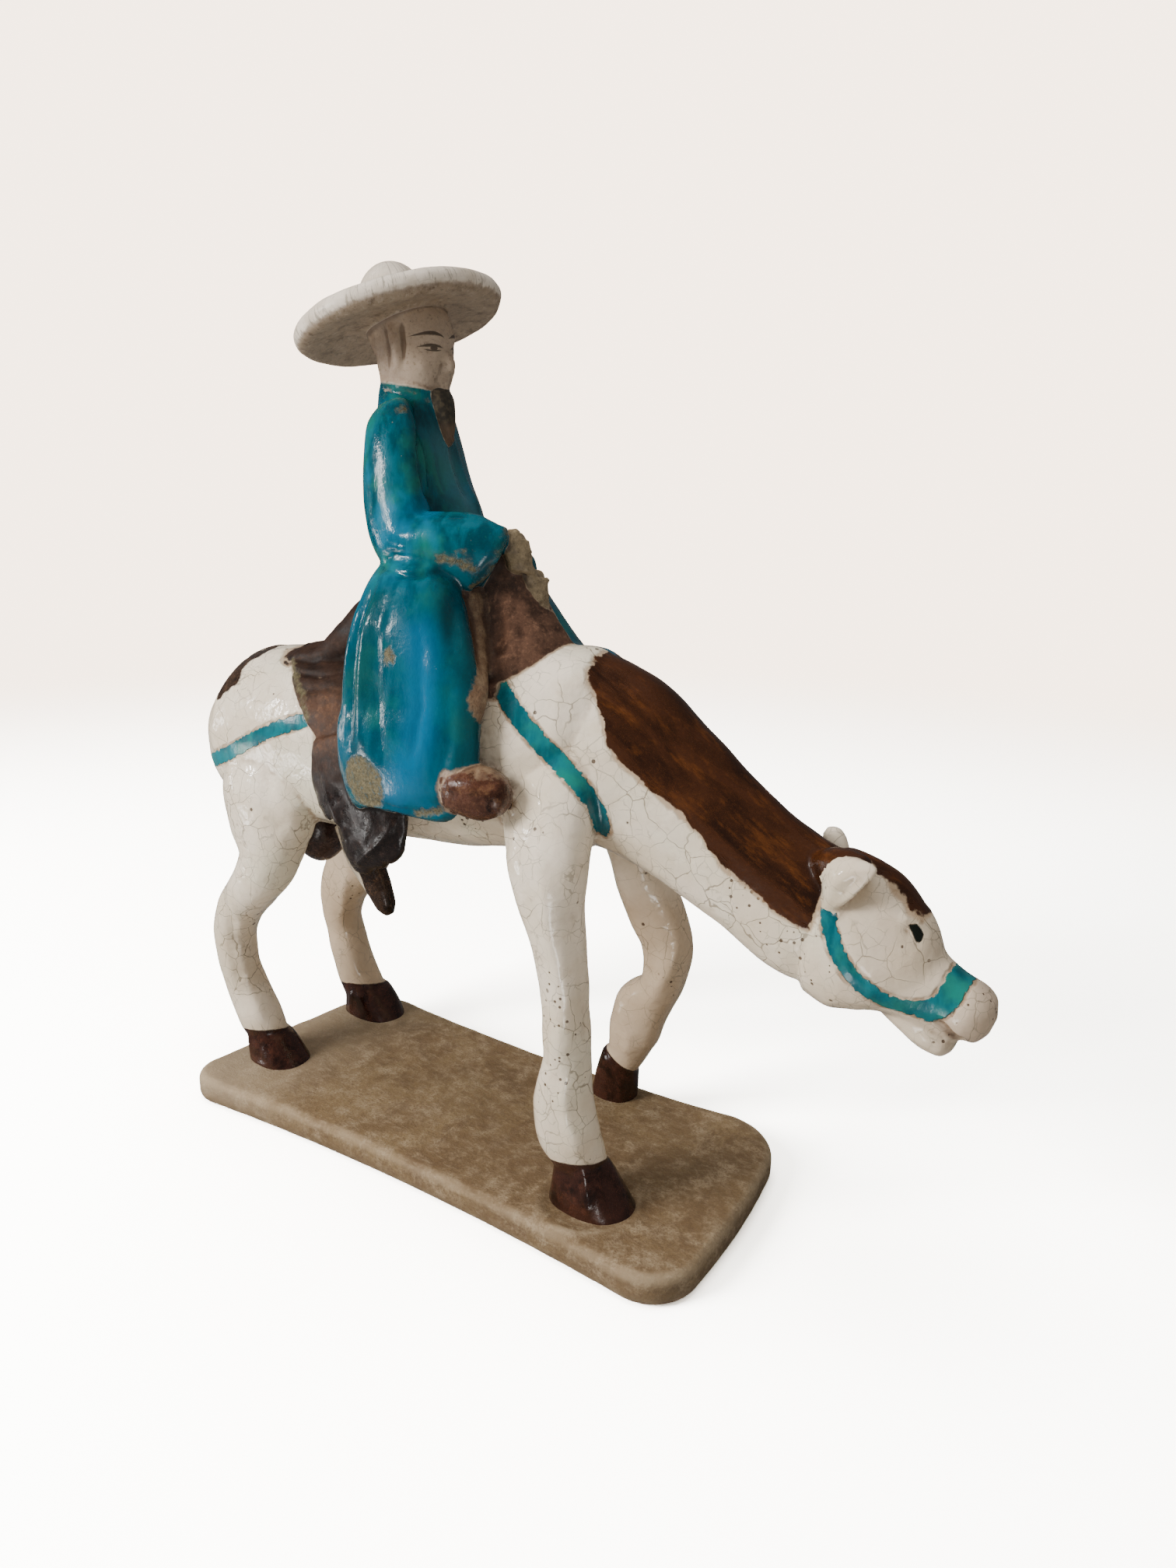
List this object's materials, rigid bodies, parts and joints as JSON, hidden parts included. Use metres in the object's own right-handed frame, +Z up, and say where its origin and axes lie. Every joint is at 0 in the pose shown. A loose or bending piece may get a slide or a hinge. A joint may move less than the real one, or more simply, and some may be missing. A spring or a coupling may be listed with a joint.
{
  "type": "glazed horse and rider figure",
  "caption": "Glazed earthenware figure of a robed rider in a wide round hat on a horse that stretches its neck down, standing on a flat slab.",
  "frame": {"origin": "centre of the slab's underside", "axes": "+X towards the horse's head, +Y to the horse's left side, +Z up"},
  "size_m": [0.336, 0.1075, 0.3396],
  "materials": {
    "glazed_earthenware": "gloss"
  },
  "bodies": {
    "root": {"horse_and_rider": "glazed_earthenware"}
  },
  "joints": []
}
